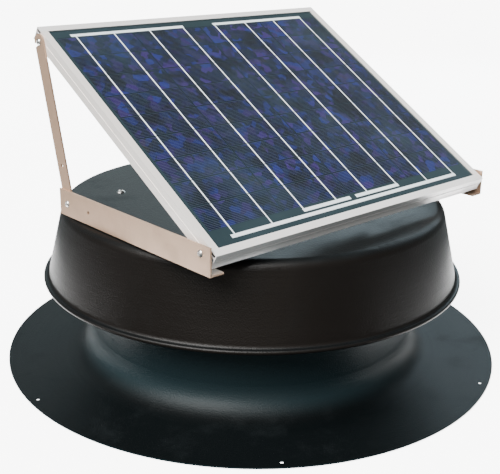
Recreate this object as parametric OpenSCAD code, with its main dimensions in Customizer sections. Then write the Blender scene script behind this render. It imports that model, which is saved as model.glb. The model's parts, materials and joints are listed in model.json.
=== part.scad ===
// Round solar attic fan: a spun flashing with a throat, an overhanging shroud,
// a fan and motor inside, and a tilting solar panel on folding struts.
// Millimetres, +Z up, origin at the centre of the flange's underside.

/* [Base flashing] */
// Outer diameter of the throat that stands over the roof opening
throat_d = 409; // [340:1:490]
// Height of the throat's top edge above the roof
throat_h = 118; // [98:1:145]
// Width of the flat flange outside the throat
flange_w = 107.5; // [88:0.5:130]
// Thickness of the spun base sheet
base_t = 1.5; // [1:0.1:2.5]
// Radius of the sweep from the flange into the throat
sweep_r = 34; // [20:1:41]
// Number of roof screw holes
roof_holes = 6; // [4:1:12]
// Diameter of a roof screw hole
roof_hole_d = 4.5; // [3.5:0.1:6.5]
// Distance from the flange's edge to the roof screw holes
roof_hole_inset = 10; // [7:1:14]
// Turn of the roof screw holes about the centre
roof_hole_turn = -6.5; // [-30:0.5:30]

/* [Shroud] */
// Height of the shroud's rim above the roof
rim_z = 102.3; // [85:0.1:115]
// Height of the shroud from its rim to its flat top
shroud_h = 93.7; // [76:0.1:113]
// Flare of the shroud's side wall from vertical
wall_flare = 13.4; // [8:0.1:18]
// Radius of the shoulder between wall and top
shoulder_r = 12; // [8:0.5:15]
// Diameter of the rolled bead on the rim
bead_d = 5.2; // [4:0.1:6.4]
// Distance the bead's centre stands out from the wall
lip_w = 3.3; // [2.7:0.1:5]
// Thickness of the spun shroud sheet
shroud_t = 1.2; // [0.9:0.1:1.6]
// Least gap between the throat and the edge of the shroud's flat top
exhaust_gap = 22; // [18:1:40]
// Distance of the shroud's screws in from the throat's outer face
bracket_screw_inset = 36.5; // [28:0.5:44]

/* [Insect screen] */
// Windows across each quarter of the screen
screen_cols = 4; // [2:1:8]
// Rows of windows
screen_rows = 2; // [1:1:4]
// Width of the metal between two windows
screen_bar = 6; // [4:0.5:9]
// Thickness of the screen
screen_t = 1; // [0.8:0.1:1.5]

/* [Fan] */
// Number of blades
blade_count = 5; // [3:1:5]
// Clearance between a blade's tip and the throat
tip_gap = 10.5; // [8:0.5:20]
// Pitch of the blades
pitch = 28; // [20:1:32]
// Radius of the blades' camber
camber_r = 150; // [120:1:220]
// Thickness of the blade sheet
blade_t = 1.2; // [0.8:0.1:2]
// Width of a blade at its root
blade_root_w = 58; // [50:1:64]
// Width of a blade at its tip
blade_tip_w = 98; // [80:1:110]
// Diameter of the hub's boss
boss_d = 40; // [32:1:46]

/* [Motor] */
// Outer diameter of the motor
motor_d = 96; // [80:1:116]
// Length of the motor between its mounting face and its nose
motor_h = 44; // [40:1:52]
// Diameter of the motor shaft
shaft_d = 8; // [6:0.5:10]

/* [Solar panel] */
// Width of the panel over its frame
panel_w = 443; // [360:1:540]
// Length of the panel up its slope
panel_l = 364; // [300:1:440]
// Depth of the panel's frame
frame_h = 17; // [15:0.5:20]
// Width of the frame's lip over the glass
frame_lip = 9; // [8:0.5:14]
// Thickness of the glass
glass_t = 3; // [2.5:0.1:3.2]
// Tilt of the panel from level
tilt = 31; // [26:1:36]
// Columns of solar cells
cell_cols = 4; // [3:1:6]
// Rows of solar cells
cell_rows = 9; // [6:1:12]

/* [Panel bracket] */
// Height of the rails
rail_h = 30.5; // [26:0.5:38]
// Width of the rails' foot
rail_foot = 17.5; // [16.5:0.5:24]
// Thickness of the rail sheet
rail_t = 2; // [1.5:0.1:3]
// Width of the struts
strut_w = 18; // [15:0.5:22]
// Thickness of the struts
strut_t = 2; // [1.5:0.1:3]
// Diameter of the bracket bolts
bolt_d = 4; // [3.3:0.1:4.8]
// Position of the tilt pivot toward the front of the roof vent
pivot_front = 168.7; // [150:0.1:190]
// Distance from the tilt pivot to the strut pivot as a share of the panel's length
pivot_share = 0.66; // [0.6:0.01:0.72]
// Distance between the adjusting holes of rail and strut
adjust_step = 44; // [36:1:52]

/* [Hidden] */
blade_ids = [for (k = [1:blade_count]) k];
bracket_ids = [1, 2, 3, 4];
screen_ids = [1, 2, 3, 4];

$fn = 96;
over = 1;              // how far a cutter reaches past what it cuts
run_fit = 0.08;        // radial clearance of a turning bolt or shaft
side_fit = 0.3;        // gap between faces that slide past each other
seam_lap = 0.03;       // how far outlines that meet at a slant run into each other

black = [0.06, 0.065, 0.07];
mill = [0.80, 0.77, 0.73];
steel = [0.72, 0.72, 0.73];
zinc = [0.55, 0.57, 0.6];
rubber = [0.1, 0.1, 0.1];

// Base flashing
throat_r = throat_d / 2;
throat_in = throat_r - base_t;
flange_r = throat_r + flange_w;
roof_hole_pcd = 2 * (flange_r - roof_hole_inset);

// Rails and their seats on the shroud
rail_in = panel_w / 2 + side_fit + strut_t + side_fit;   // inner face of a rail's web
rail_out = rail_in + rail_t;
washer_d = 16;
washer_t = 1.5;
washer_show = 0.7;                  // how far a washer stands out past the rail's foot
rail_screw_d = 5;
rail_head_d = 9.5;
rail_head_h = 2.6;
rail_nut_af = 8;
rail_nut_h = 4;
rail_screw_x = rail_out - rail_foot + washer_d / 2 - washer_show;
rail_screw_y = 35;
rail_seat_r = sqrt(pow(rail_screw_x, 2) + pow(rail_screw_y, 2)) + washer_d / 2;

// Shroud outline: flat top, shoulder, flared wall, curl and bead
top_z = rim_z + shroud_h;
under_z = top_z - shroud_t;
flat_r = max(rail_seat_r, throat_r + exhaust_gap);
bead_r = bead_d / 2;
shoulder_z = top_z - shoulder_r;
bead_top = rim_z + bead_d;
bead_sink = 0.4;                    // how far below the bead's top the sheet runs into it

function wall_r(z) = flat_r + shoulder_r / cos(wall_flare) + (shoulder_z - z) * tan(wall_flare);

curl_z = bead_top - bead_sink;
bead_c = [wall_r(curl_z) + lip_w, rim_z + bead_r];
curl_r = lip_w * cos(wall_flare) / (1 - sin(wall_flare));
curl_c = [bead_c[0], curl_z + curl_r];
wall_dir = [cos(wall_flare), sin(wall_flare)];
wall_down = [wall_dir[1], -wall_dir[0]];
wall_top = [flat_r, shoulder_z] + shoulder_r * wall_dir - seam_lap * wall_down;
wall_over = curl_c - curl_r * wall_dir + seam_lap * wall_down;

// Screen
screen_r = throat_r + 0.4;          // its inner face, just clear of the throat
seam_angle = 0.15;                  // half the gap between two panels, in degrees
screen_lap = 12;
screen_z = throat_h - screen_lap;
screen_top = under_z - 0.5;         // just clear of the shroud's flat top
screen_sill = 3;                    // height of the windows' foot over the throat's edge

// Shroud brackets
bracket_w = 30;
bracket_t = 2;
bracket_lap = 34;                   // how far it reaches down into the throat
bracket_bend = 4;
bracket_screw_r = throat_r - bracket_screw_inset;
tab_end = bracket_screw_r - 14;
small_screw_d = 4.8;
small_screw_l = 9;
small_head_d = 9;
small_head_h = 2.6;
head_gap = 1;
truss_screw_l = 8;
truss_head_d = 11;
truss_head_h = 2.8;

// Distance from the axis at which a flat strip of width w seats inside the throat
function seat_r(w) = sqrt(pow(throat_in, 2) - pow(w / 2, 2)) - 0.1;

// Motor stack, from its mounting face down
mount_t = 2.5;
arm_w = 26;
arm_rise = 4;
rib_w = 2;
rib_h = 5;
vent_r = 6;
mount_z = throat_h + arm_rise;
bearing_d = 2.75 * shaft_d;
bearing_h = 0.85 * shaft_d;         // depth of a bearing's seat
bearing_in = 1;                     // how far a bearing stands back from its seat's end
cap_floor = 1.2;
cap_h = bearing_h - bearing_in + cap_floor;
nose_h = cap_h;
shaft_in = 1.5;                     // how far the shaft ends below the upper seat's end
can_t = 3;
fin = 1.6;                          // height and width of a cooling fin
fins = 24;
nose_boss_h = 4;
nose_wall = 4;
can_z = mount_z - cap_h;
nose_z = mount_z - motor_h;
can_end = nose_z + nose_h;
motor_r = motor_d / 2;
core_r = motor_r - fin - can_t;     // inside of the can
mount_screw_r = motor_r - 13;
screw_floor = 1;                    // metal left under a motor screw
core_margin = 3;
stator_in = 0.53 * motor_r;
air_gap = 0.4;
teeth = 12;

// Fan
fan_r = throat_in - tip_gap;
boss_up = 12;
boss_down = 15;
hub_gap = 5;
shaft_show = 3;                     // how far the shaft stands out under the hub
fan_z = nose_z - nose_boss_h - hub_gap - boss_up;
root_x = 46;
arm_t = 4;
arm_end = 88;
deep = 40;                          // half the height of a cutter through a pitched blade
rivet_d = 5;
rivet_head_d = 8.4;
rivet_head_h = 1.8;
rivet_spots = [[57, -8.5], [57, 8.5], [78, 0]];
set_screw_d = 5;
set_screw_in = 2;                   // how far the set screw sits below the boss
past = 8;                           // how far a blade's blank reaches past its trimmed tip

// Panel frame section, measured down from its top face
lip_t = 1.1;
seal_t = 0.25;
seal_side = 0.8;
ribbon_t = 0.1;
cell_t = 0.2;
sheet_t = 0.3;
laminate_t = glass_t + ribbon_t + cell_t + sheet_t;
shelf_t = 1;
frame_t = 1.4;
flange_t = 1.2;
shelf_top = lip_t + 2 * seal_t + laminate_t;
shelf_under = shelf_top + shelf_t;
pivot_depth = (shelf_under + frame_h - flange_t) / 2;
pivot_inset = 16;
hook_inset = 13;
pivot_up = 21.2;
strut_up = 14.5;
ledge_w = 1.2;
ledge_edge = 0.8;
cove_h = 6.5;
groove_w = 1.2;
groove_d = 0.5;

// Panel pivot, strut pivot and hook screw
rail_z = top_z + washer_t;
pivot_y = -pivot_front;
pivot_z = rail_z + pivot_up;
rail_end = 15;
pivot_run = pivot_share * panel_l;
strut_y = pivot_y + pivot_run;
strut_z = rail_z + strut_up;
hook_run = panel_l - pivot_inset - hook_inset;
hook_y = pivot_y + hook_run * cos(tilt);
hook_z = pivot_z + hook_run * sin(tilt);
strut_len = norm([hook_y - strut_y, hook_z - strut_z]);
strut_lean = atan2(hook_z - strut_z, hook_y - strut_y);

// Folding: the panel comes down to 1 degree while the strut swings into its rail
panel_fold = tilt - 1;
strut_fold = 180 - strut_lean;
fold_ratio = strut_fold / panel_fold;

// Way of the hook screw out of the strut, seen from the strut, as the fold starts
leave = [
    hook_run * sin(tilt) + fold_ratio * strut_len * sin(strut_lean),
    -hook_run * cos(tilt) - fold_ratio * strut_len * cos(strut_lean)
];
hook_way = atan2(leave[1], leave[0]) - strut_lean;

nut_af = 1.75 * bolt_d;
nut_h = 0.8 * bolt_d;
head_d = 1.9 * bolt_d;
head_h = 0.55 * bolt_d;
thread_show = 0.8;                  // how far a bolt stands out of its nut
head_lift = 0.1;                    // gap under the head of a bolt that turns
spacer_d = 2.4 * bolt_d;

// Laminate
window_w = panel_w - 2 * frame_lip;
window_l = panel_l - 2 * frame_lip;
laminate_w = panel_w - 2 * (frame_t + seal_side);
laminate_l = panel_l - 2 * (frame_t + seal_side);
cell_gap = 1.6;
cell_side = 5.5;                    // from the cells to the frame's lip, at the sides
cell_top = 14;                      // the same at the upper end, past the bus ribbons
cell_foot = 23;                     // and at the lower end
cell_pitch_x = (window_w - 2 * cell_side + cell_gap) / cell_cols;
cell_pitch_y = (window_l - cell_top - cell_foot + cell_gap) / cell_rows;
cell_w = cell_pitch_x - cell_gap;
cell_l = cell_pitch_y - cell_gap;
tab_w = 1.8;
bus_w = 4.6;
bus_foot = 7.6;                     // from the frame's lip to the outer ribbon at the lower end
bus_gap = 3;

// Junction box
box_w = 84;
box_l = 56;
box_h = 17;
box_wall = 2;
box_lid_h = 2.5;
box_v = 50;                         // from the panel's low edge to the box's middle
box_corner_r = 5;
post_d = 7;
post_in = 6;
box_screw_d = 2.8;
box_screw_l = 10;
box_head_d = 5.2;
box_head_h = 1.6;
box_gland_d = 10;
box_gland_bore = 5.5;

/* ---- Shared shapes ---- */

// Part of a ring between two angles, under 180 degrees apart
module ring_sector(c, r_in, r_out, a0, a1) {
    reach = 2 * r_out;
    mid = (a0 + a1) / 2;
    translate(c) intersection() {
        difference() {
            circle(r_out);
            circle(r_in);
        }
        polygon([
            [0, 0],
            reach * [cos(a0), sin(a0)],
            reach * [cos(mid), sin(mid)] / cos((a1 - a0) / 2),
            reach * [cos(a1), sin(a1)]
        ]);
    }
}

function unit(v) = v / norm(v);

// Convex outline, points anticlockwise, with every corner rounded to radius r
module rounded_outline(points, r) {
    n = len(points);
    before = [for (i = [0:n - 1]) unit(points[(i + n - 1) % n] - points[i])];
    after = [for (i = [0:n - 1]) unit(points[(i + 1) % n] - points[i])];
    half = [for (i = [0:n - 1]) acos(before[i] * after[i]) / 2];
    polygon([for (i = [0:n - 1], side = [before[i], after[i]]) points[i] + side * r / tan(half[i])]);
    for (i = [0:n - 1])
        translate(points[i] + unit(before[i] + after[i]) * r / sin(half[i])) circle(r);
}

module rounded_rect(w, l, r) {
    rounded_outline([[-w, -l] / 2, [w, -l] / 2, [w, l] / 2, [-w, l] / 2], r);
}

module box_at(low, high) {
    translate(low) cube(high - low);
}

module around(count, start = 0) {
    for (k = [0:count - 1]) rotate([0, 0, start + k * 360 / count]) children();
}

module both_sides() {
    children();
    mirror([1, 0, 0]) children();
}

// Low domed screw head on the plane z = 0
module domed_head(d, h) {
    ball = (pow(d / 2, 2) + h * h) / (2 * h);
    intersection() {
        translate([0, 0, h - ball]) sphere(ball);
        cylinder(d = d, h = h);
    }
}

// Screw standing on its seat, head up, shank down
module screw(d, length, cap_d, cap_h) {
    translate([0, 0, -length]) cylinder(d = d, h = length);
    domed_head(cap_d, cap_h);
}

module hex_nut(bore_d, af, h) {
    difference() {
        cylinder(d = af / cos(30), h = h, $fn = 6);
        translate([0, 0, -over]) cylinder(d = bore_d, h = h + 2 * over);
    }
}

/* ---- Base, screen and shroud ---- */

// Directions of the shroud brackets and of the motor mount's arms
bracket_turn = 45;
arm_turn = 0;
upper_row = 10;                     // depth of the screws under the throat's top edge
lower_row = 24;
arm_screw_row = 14;
bracket_rows = [throat_h - upper_row, throat_h - lower_row];
arm_row = throat_h - arm_screw_row;

module flashing_base() {
    color(black) difference() {
        rotate_extrude($fn = 180) {
            translate([throat_r + sweep_r, 0]) square([flange_w - sweep_r, base_t]);
            ring_sector([throat_r + sweep_r, base_t + sweep_r], sweep_r, sweep_r + base_t, 180, 270);
            translate([throat_in, base_t + sweep_r]) square([base_t, throat_h - base_t - sweep_r]);
        }
        around(roof_holes, roof_hole_turn)
            translate([roof_hole_pcd / 2, 0, -over])
                cylinder(d = roof_hole_d, h = base_t + 2 * over, $fn = 32);
        for (z = bracket_rows) around(4, bracket_turn) throat_hole(z);
        around(4, arm_turn) throat_hole(arm_row);
    }
}

module throat_hole(z) {
    translate([throat_in - over, 0, z]) rotate([0, 90, 0])
        cylinder(d = small_screw_d, h = base_t + 2 * over, $fn = 32);
}

// Quarter of the screen: a pierced strip that stands on a lap round the throat's top edge
module screen_panel(k) {
    free_z = throat_h + screen_sill;
    row_h = (screen_top - free_z) / screen_rows;
    bar_turn = 90 / screen_cols;
    bar_angle = screen_bar / screen_r * 180 / PI;
    color(zinc) rotate([0, 0, (k - 1) * 90]) difference() {
        translate([0, 0, screen_z]) linear_extrude(screen_top - screen_z)
            ring_sector([0, 0], screen_r, screen_r + screen_t, seam_angle - 45, 45 - seam_angle, $fn = 180);
        for (row = [0:screen_rows - 1], col = [0:screen_cols - 1])
            translate([0, 0, free_z + row * row_h]) linear_extrude(row_h - screen_bar)
                ring_sector([0, 0], screen_r - over, screen_r + screen_t + over,
                    col * bar_turn - 45 + bar_angle / 2, (col + 1) * bar_turn - 45 - bar_angle / 2, $fn = 180);
        head_notch(0, arm_row);
        for (a = [-bracket_turn, bracket_turn], z = bracket_rows) head_notch(a, z);
    }
}

// Clearance round a throat screw's head
module head_notch(a, z) {
    rotate([0, 0, a]) translate([screen_r - over, 0, z]) rotate([0, 90, 0])
        cylinder(d = small_head_d + 2 * head_gap, h = screen_t + 2 * over, $fn = 48);
}

// Angle strip from the throat's inside up to the shroud's flat top
module shroud_bracket(k) {
    leg = seat_r(bracket_w);
    low = throat_h - bracket_lap;
    bend = [leg - bracket_bend, under_z - bracket_bend];
    cut = bracket_t + 2 * over;
    color(zinc) rotate([0, 0, bracket_turn + (k - 1) * 90]) difference() {
        rotate([90, 0, 0]) linear_extrude(bracket_w, center = true) {
            translate([leg - bracket_t, low]) square([bracket_t, bend[1] + seam_lap - low]);
            ring_sector(bend, bracket_bend - bracket_t, bracket_bend, 0, 90);
            translate([tab_end, under_z - bracket_t]) square([bend[0] + seam_lap - tab_end, bracket_t]);
        }
        for (z = bracket_rows)
            translate([leg - bracket_t - over, 0, z]) rotate([0, 90, 0])
                cylinder(d = small_screw_d, h = cut, $fn = 32);
        translate([bracket_screw_r, 0, under_z - bracket_t - over])
            cylinder(d = small_screw_d, h = cut, $fn = 32);
    }
}

module throat_screw(z) {
    translate([throat_r, 0, z]) rotate([0, 90, 0])
        screw(small_screw_d, small_screw_l, small_head_d, small_head_h, $fn = 32);
}

module throat_screws() {
    color(steel) for (z = bracket_rows) around(4, bracket_turn) throat_screw(z);
    color(steel) around(4, arm_turn) throat_screw(arm_row);
}

module shroud() {
    cut = shroud_t + 2 * over;
    color(black) difference() {
        rotate_extrude($fn = 180) {
            translate([0, under_z]) square([flat_r, shroud_t]);
            ring_sector([flat_r, shoulder_z], shoulder_r - shroud_t, shoulder_r, wall_flare, 90);
            translate(curl_c) {
                polygon([wall_top - curl_c, wall_top - curl_c - shroud_t * wall_dir,
                    wall_over - curl_c - shroud_t * wall_dir, wall_over - curl_c]);
                ring_sector([0, 0], curl_r, curl_r + shroud_t, 180 + wall_flare, 270);
            }
            translate(bead_c) circle(bead_r, $fn = 32);
        }
        around(4, bracket_turn)
            translate([bracket_screw_r, 0, under_z - over]) cylinder(d = small_screw_d, h = cut, $fn = 32);
        rail_screw_places() translate([0, 0, under_z - over]) cylinder(d = rail_screw_d, h = cut, $fn = 32);
        grommet_place() translate([0, 0, -shroud_t - over]) cylinder(d = grommet_d, h = cut, $fn = 48);
    }
}

module shroud_screws() {
    color(steel) around(4, bracket_turn)
        translate([bracket_screw_r, 0, top_z])
            screw(small_screw_d, truss_screw_l, truss_head_d, truss_head_h, $fn = 48);
}

// Rubber grommet for the panel's lead, moulded closed
grommet_d = 13;
grommet_bore = 8;
grommet_h = 2.5;
grommet_y = 70;

module grommet_place() {
    translate([0, grommet_y, top_z]) children();
}

module cable_grommet() {
    rim = 3;
    color(rubber) grommet_place() difference() {
        union() {
            cylinder(d = grommet_d + 2 * rim, h = grommet_h, $fn = 48);
            translate([0, 0, -shroud_t]) cylinder(d = grommet_d, h = shroud_t, $fn = 48);
            translate([0, 0, -shroud_t - grommet_h]) cylinder(d = grommet_d + 2 * rim, h = grommet_h, $fn = 48);
        }
        translate([0, 0, -shroud_t / 2]) cylinder(d = grommet_bore, h = shroud_t + grommet_h, $fn = 48);
    }
}

/* ---- Motor and fan ---- */

// Pressed cross: a round plate and four arms whose ends turn down into the throat
module motor_mount() {
    leg = seat_r(arm_w);
    tab_h = 30;
    plate_rim = 6;
    plate_z = mount_z + mount_t;
    cut = mount_t + 2 * over;
    color(zinc) difference() {
        union() {
            translate([0, 0, mount_z]) cylinder(r = motor_r + plate_rim, h = mount_t);
            around(4, arm_turn) {
                box_at([motor_r, -arm_w / 2, mount_z], [leg, arm_w / 2, plate_z]);
                box_at([leg - mount_t, -arm_w / 2, plate_z - tab_h], [leg, arm_w / 2, plate_z]);
                box_at([motor_r - 4, -rib_w / 2, plate_z], [leg - 12, rib_w / 2, plate_z + rib_h]);
            }
        }
        around(4, arm_turn) translate([leg - mount_t - over, 0, arm_row]) rotate([0, 90, 0])
            cylinder(d = small_screw_d, h = cut, $fn = 32);
        motor_screw_places() translate([0, 0, mount_z - over]) cylinder(d = bolt_d, h = cut, $fn = 32);
        translate([0, 0, mount_z - over]) cylinder(r = motor_r / 3, h = cut);
        around(4, arm_turn + 45)
            translate([motor_r / 2 + 4, 0, mount_z - over]) cylinder(r = vent_r, h = cut, $fn = 32);
    }
}

module motor_screw_places() {
    around(4, 22.5) translate([mount_screw_r, 0, 0]) children();
}

module motor_screws() {
    color(steel) motor_screw_places()
        translate([0, 0, mount_z + mount_t])
            screw(bolt_d, mount_t + cap_h - screw_floor, head_d, head_h, $fn = 32);
}

// Upper end cap, which carries the upper bearing
module motor_cap() {
    color(zinc) difference() {
        translate([0, 0, can_z]) cylinder(r = motor_r, h = cap_h);
        translate([0, 0, can_z - over]) cylinder(d = bearing_d, h = bearing_h - bearing_in + over);
        motor_screw_places() translate([0, 0, can_z + screw_floor]) cylinder(d = bolt_d, h = cap_h, $fn = 32);
    }
}

module motor_can() {
    color(black) difference() {
        union() {
            translate([0, 0, can_end]) cylinder(r = motor_r - fin, h = can_z - can_end);
            around(fins, 180 / fins) box_at([motor_r - fin - 1, -fin / 2, can_end], [motor_r, fin / 2, can_z]);
        }
        translate([0, 0, can_end - over]) cylinder(r = core_r, h = can_z);
        gland_place() translate([0, 0, -over]) cylinder(d = gland_d, h = 20, $fn = 32);
    }
}

// Lower end cap with the boss that holds the lower bearing
module motor_nose() {
    color(zinc) difference() {
        union() {
            translate([0, 0, nose_z]) cylinder(r = motor_r, h = nose_h);
            translate([0, 0, nose_z - nose_boss_h]) cylinder(d = bearing_d + 2 * nose_wall, h = nose_boss_h);
        }
        translate([0, 0, nose_z]) cylinder(d = bearing_d, h = nose_h + over);
        translate([0, 0, nose_z - nose_boss_h - over]) cylinder(d = shaft_d + 2 * side_fit, h = nose_h);
    }
}

// Cable gland in the side of the can, with nothing in it
gland_z = (can_z + can_end) / 2;
gland_turn = 45;
gland_d = 8;

module gland_place() {
    rotate([0, 0, gland_turn]) translate([core_r, 0, gland_z]) rotate([0, 90, 0]) children();
}

module motor_gland() {
    seat = fin + can_t;
    nut_d = 12;
    color(rubber) gland_place() difference() {
        union() {
            cylinder(d = gland_d, h = seat + 2, $fn = 32);
            translate([0, 0, seat]) cylinder(d = nut_d, h = gland_d, $fn = 6);
        }
        translate([0, 0, -over]) cylinder(d = gland_d / 2, h = 20, $fn = 32);
    }
}

module motor_bearings() {
    color(steel) for (z = [can_z, nose_z]) translate([0, 0, z]) difference() {
        cylinder(d = bearing_d, h = bearing_h - bearing_in);
        translate([0, 0, -over]) cylinder(d = shaft_d + 2 * run_fit, h = bearing_h + over);
    }
}

// Laminated ring whose teeth face the magnet rotor
module stator_core() {
    bore = stator_in + air_gap;
    yoke = core_r - 7;
    neck = bore + 2;
    mouth_w = 1;
    foot_w = 1.4;
    slot_share = 0.13;
    color([0.45, 0.3, 0.2]) translate([0, 0, can_end + core_margin])
        linear_extrude(can_z - can_end - 2 * core_margin) difference() {
            circle(core_r);
            circle(bore);
            around(teeth) rounded_outline([
                [bore - over, -mouth_w], [neck, -mouth_w], [neck, mouth_w], [bore - over, mouth_w]
            ], 0.4);
            around(teeth) rounded_outline([
                [neck, -foot_w], [yoke, -slot_share * yoke], [yoke, slot_share * yoke], [neck, foot_w]
            ], 1);
        }
}

module motor_shaft() {
    low = fan_z - boss_down - shaft_show;
    color(steel) translate([0, 0, low]) cylinder(d = shaft_d, h = can_z + bearing_h - shaft_in - low);
}

module magnet_rotor() {
    color([0.3, 0.3, 0.32]) translate([0, 0, can_end + core_margin]) difference() {
        cylinder(r = stator_in, h = can_z - can_end - 2 * core_margin);
        translate([0, 0, -over]) cylinder(d = shaft_d, h = can_z);
    }
}

// Frame of one blade: X outward, Y toward the leading edge, Z square to the blade
module blade_frame(k) {
    rotate([0, 0, k * 360 / blade_count]) translate([0, 0, fan_z]) rotate([-pitch, 0, 0]) children();
}

// Cambered bar along X: its upper face is an arc of radius camber_r about an axis above it
module cambered(start, t) {
    span = 25;
    rotate([90, 0, 90]) linear_extrude(fan_r + past)
        ring_sector([0, camber_r], camber_r + start, camber_r + start + t, 270 - span, 270 + span);
}

module over_blade(x, y) {
    translate([x, 0, camber_r]) rotate([asin(y / camber_r), 0, 0]) translate([0, 0, -camber_r]) children();
}

module rivet_holes() {
    for (spot = rivet_spots) over_blade(spot[0], spot[1])
        translate([0, 0, -arm_t - blade_t - over])
            cylinder(d = rivet_d, h = arm_t + blade_t + 3 * over, $fn = 32);
}

// Blade planform: narrow rounded-off root, wide tip swept back from the leading edge
module fan_blade(k) {
    tip_x = fan_r + past;
    root = blade_root_w / 2;
    lead_share = 0.42;
    lead = lead_share * blade_tip_w;
    trail = lead - blade_tip_w;
    nick = 9;
    color([0.75, 0.76, 0.78]) intersection() {
        blade_frame(k) difference() {
            intersection() {
                cambered(0, blade_t);
                translate([0, 0, -deep]) linear_extrude(2 * deep) polygon([
                    [root_x, nick - root], [root_x + nick, -root], [tip_x, trail],
                    [tip_x, lead], [root_x + nick, root], [root_x, root - nick]
                ]);
            }
            rivet_holes();
        }
        cylinder(r = fan_r, h = 4 * throat_h, center = true, $fn = 180);
    }
}

// Cast hub: a boss with one pitched, cambered arm and rib under each blade
module fan_hub() {
    palm_x = 50;
    color([0.6, 0.61, 0.63]) difference() {
        union() {
            translate([0, 0, fan_z - boss_down]) cylinder(d = boss_d, h = boss_up + boss_down);
            for (k = blade_ids) blade_frame(k) {
                intersection() {
                    cambered(blade_t, arm_t);
                    translate([0, 0, -deep]) linear_extrude(2 * deep) polygon([
                        [boss_d / 4, -9], [palm_x, -17], [arm_end - 8, -14], [arm_end, -7],
                        [arm_end, 7], [arm_end - 8, 14], [palm_x, 17], [boss_d / 4, 9]
                    ]);
                }
                rib = blade_t + arm_t - 0.6;
                rib_x = boss_d / 2 - 6;
                rotate([90, 0, 0]) linear_extrude(arm_t, center = true)
                    polygon([[rib_x, -rib], [66, -rib], [rib_x, -rib - 10]]);
            }
        }
        for (k = blade_ids) blade_frame(k) rivet_holes();
        translate([0, 0, fan_z - boss_down - over]) cylinder(d = shaft_d, h = 2 * deep);
        set_screw_place() cylinder(d = set_screw_d, h = boss_d, $fn = 32);
    }
}

module set_screw_place() {
    rotate([0, 0, 180 / blade_count]) translate([0, 0, fan_z + boss_up - 5]) rotate([0, 90, 0]) children();
}

module hub_set_screw() {
    color(steel) set_screw_place()
        translate([0, 0, shaft_d / 2])
            cylinder(d = set_screw_d, h = (boss_d - shaft_d) / 2 - set_screw_in, $fn = 32);
}

module blade_rivets() {
    seat = pow(rivet_head_d / 2, 2) / (2 * camber_r);
    color(steel) for (k = blade_ids, spot = rivet_spots) blade_frame(k) over_blade(spot[0], spot[1]) {
        translate([0, 0, seat]) domed_head(rivet_head_d, rivet_head_h, $fn = 32);
        translate([0, 0, -blade_t - arm_t]) cylinder(d = rivet_d, h = blade_t + arm_t + seat, $fn = 32);
        translate([0, 0, -blade_t - arm_t]) mirror([0, 0, 1]) domed_head(rivet_head_d, rivet_head_h, $fn = 32);
    }
}

/* ---- Rails and struts ---- */

module rail_screw_places() {
    for (x = [-rail_screw_x, rail_screw_x], y = [-rail_screw_y, rail_screw_y])
        translate([x, y, 0]) children();
}

// Bolt axis across a rail, at a place along and above the left rail
module across(y, z) {
    translate([0, y, z]) rotate([0, -90, 0]) children();
}

// Angle rail on the left side, web outside and foot turned in
module rail() {
    front = pivot_y - rail_end;
    length = pivot_run + 2 * rail_end;
    cut = rail_t + 2 * over;
    difference() {
        translate([0, front + length, 0]) rotate([90, 0, 0]) linear_extrude(length) {
            translate([-rail_out, rail_z]) square([rail_t, rail_h]);
            translate([-rail_in, rail_z]) square([rail_foot - rail_t, rail_t]);
        }
        for (place = [[pivot_y, pivot_z], [strut_y, strut_z], [strut_y - adjust_step, strut_z]])
            across(place[0], place[1])
                translate([0, 0, rail_in - over]) cylinder(d = bolt_d + 2 * run_fit, h = cut, $fn = 32);
        rail_screw_places() translate([0, 0, rail_z - over]) cylinder(d = rail_screw_d, h = cut, $fn = 32);
    }
}

module rail_left() {
    color(mill) rail();
}

module rail_right() {
    color(mill) mirror([1, 0, 0]) rail();
}

// Sealing washers under the rails' feet
module rail_washers() {
    color(rubber) rail_screw_places() translate([0, 0, top_z]) difference() {
        cylinder(d = washer_d, h = washer_t, $fn = 48);
        translate([0, 0, -over]) cylinder(d = rail_screw_d, h = washer_t + 2 * over, $fn = 32);
    }
}

module rail_screws() {
    stack = rail_t + washer_t + shroud_t;
    color(steel) rail_screw_places()
        translate([0, 0, rail_z + rail_t])
            screw(rail_screw_d, stack + rail_nut_h + 2, rail_head_d, rail_head_h, $fn = 32);
}

module rail_nuts() {
    color(steel) rail_screw_places() translate([0, 0, under_z - rail_nut_h])
        hex_nut(rail_screw_d, rail_nut_af, rail_nut_h, $fn = 32);
}

// Flat bar with a round end on its rail pivot and a slot that hangs on the hook screw
module strut() {
    end_r = strut_w / 2;
    hole_d = bolt_d + 2 * run_fit;
    slot_w = bolt_d + 2 * side_fit;
    translate([-rail_in + side_fit, strut_y, strut_z]) rotate([strut_lean, 0, 0])
        rotate([90, 0, 90]) linear_extrude(strut_t) difference() {
            union() {
                translate([0, -end_r]) square([strut_len, strut_w]);
                circle(end_r);
                translate([strut_len, 0]) circle(end_r);
            }
            circle(d = hole_d, $fn = 32);
            translate([adjust_step, 0]) circle(d = hole_d, $fn = 32);
            translate([strut_len, 0]) {
                circle(d = slot_w, $fn = 32);
                rotate([0, 0, hook_way]) translate([0, -slot_w / 2]) square([strut_w, slot_w]);
            }
        }
}

module strut_left() {
    color(mill) strut();
}

module strut_right() {
    color(mill) mirror([1, 0, 0]) strut();
}

// Pivot bolts of the struts, heads outside the rails
module strut_bolts() {
    stack = rail_t + 2 * side_fit + strut_t + nut_h;
    color(steel) both_sides() across(strut_y, strut_z)
        translate([0, 0, rail_out]) screw(bolt_d, stack + thread_show, head_d, head_h, $fn = 32);
}

module strut_nuts() {
    color(steel) both_sides() across(strut_y, strut_z)
        translate([0, 0, rail_in - 2 * side_fit - strut_t - nut_h]) hex_nut(bolt_d, nut_af, nut_h, $fn = 32);
}

/* ---- Solar panel, in its own frame: origin on the tilt axis, Y up the slope ---- */

module in_panel() {
    translate([0, pivot_y, pivot_z]) rotate([tilt, 0, 0]) children();
}

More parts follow.
